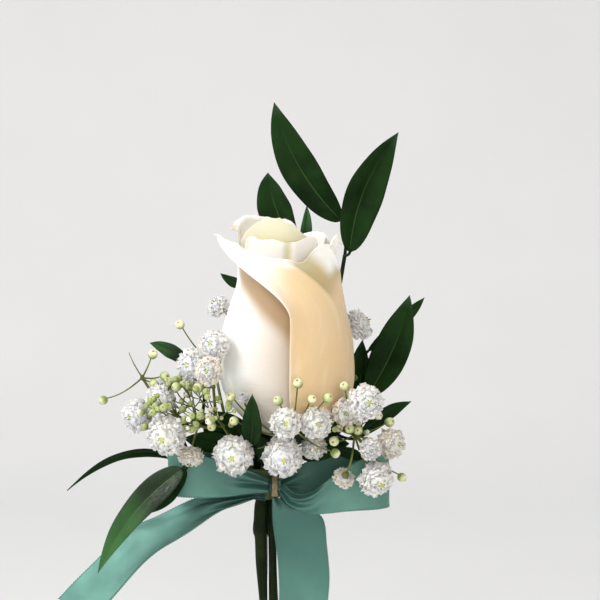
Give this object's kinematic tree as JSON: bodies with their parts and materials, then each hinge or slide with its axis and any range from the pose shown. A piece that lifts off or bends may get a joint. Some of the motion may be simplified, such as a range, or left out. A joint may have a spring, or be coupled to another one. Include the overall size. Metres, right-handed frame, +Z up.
{
  "type": "rose boutonniere with lapel pin",
  "caption": "Cream rose boutonniere with baby's breath, glossy ruscus leaves and a teal satin bow, on a pearl-headed pin for a lapel.",
  "frame": {"origin": "on the pin's axis, level with the lower face of the binding, where it is pinned on", "axes": "+Z up along the pin towards its pearl head and the rose, -Y forward to whoever looks at the lapel, +X to that viewer's right"},
  "size_m": [0.1102, 0.0563, 0.1514],
  "materials": {
    "petal_blush": "matt petal, ivory with a peach blush",
    "petal_cream": "matt petal, cream white",
    "petal_heart": "matt petal, warm yellow cream",
    "leaf_green": "waxy leaf with a fine parallel grain, half gloss",
    "stem_green": "fresh green stem, half gloss",
    "twig_green": "thin fresh stalk, matt",
    "bloom_white": "ruffled small petals, matt",
    "bud_cream": "closed bud, matt",
    "floral_tape": "waxed crepe tape, wound",
    "pin_steel": "polished pin with a pearl head",
    "tie_tan": "twisted fibre tie",
    "satin_teal": "satin ribbon with woven edges"
  },
  "bodies": {
    "root": {"rose_stem": "stem_green", "rose_calyx": "stem_green", "rose_heart": "petal_heart", "petal_front": "petal_blush", "petal_left": "petal_cream", "petal_right": "petal_cream", "petal_back_left": "petal_cream", "petal_back": "petal_cream", "petal_inner_front": "petal_heart", "petal_inner_right": "petal_heart", "petal_inner_peak": "petal_heart", "leaf_top": "leaf_green", "leaf_top_right": "leaf_green", "leaf_back_left": "leaf_green", "leaf_back_spike": "leaf_green", "leaf_side_left": "leaf_green", "leaf_right": "leaf_green", "leaf_right_arch": "leaf_green", "leaf_right_folded": "leaf_green", "leaf_right_low": "leaf_green", "leaf_under_rose": "leaf_green", "leaf_left_high": "leaf_green", "leaf_left_arch": "leaf_green", "leaf_left_big": "leaf_green", "leaf_left_second": "leaf_green", "leaf_front": "leaf_green", "ruscus_top": "stem_green", "ruscus_back": "stem_green", "ruscus_right": "stem_green", "ruscus_left": "stem_green", "ruscus_front": "stem_green", "sprig_left": "twig_green", "sprig_centre": "twig_green", "sprig_right": "twig_green", "bloom_2": "bloom_white", "bloom_3": "bloom_white", "bloom_5": "bloom_white", "bloom_6": "bloom_white", "bloom_7": "bloom_white", "bloom_9": "bloom_white", "bloom_10": "bloom_white", "bloom_11": "bloom_white", "bloom_12": "bloom_white", "bloom_14": "bloom_white", "bloom_16": "bloom_white", "bloom_18": "bloom_white", "bloom_20": "bloom_white", "bloom_21": "bloom_white", "small_blooms": "bloom_white", "bloom_buds": "bud_cream", "second_stem": "stem_green", "binding": "floral_tape", "lapel_pin": "pin_steel", "bow_tie": "tie_tan", "ribbon_gather": "satin_teal", "ribbon_loop_left": "satin_teal", "ribbon_loop_right": "satin_teal", "ribbon_tail_left": "satin_teal", "ribbon_tail_right": "satin_teal"}
  },
  "joints": []
}
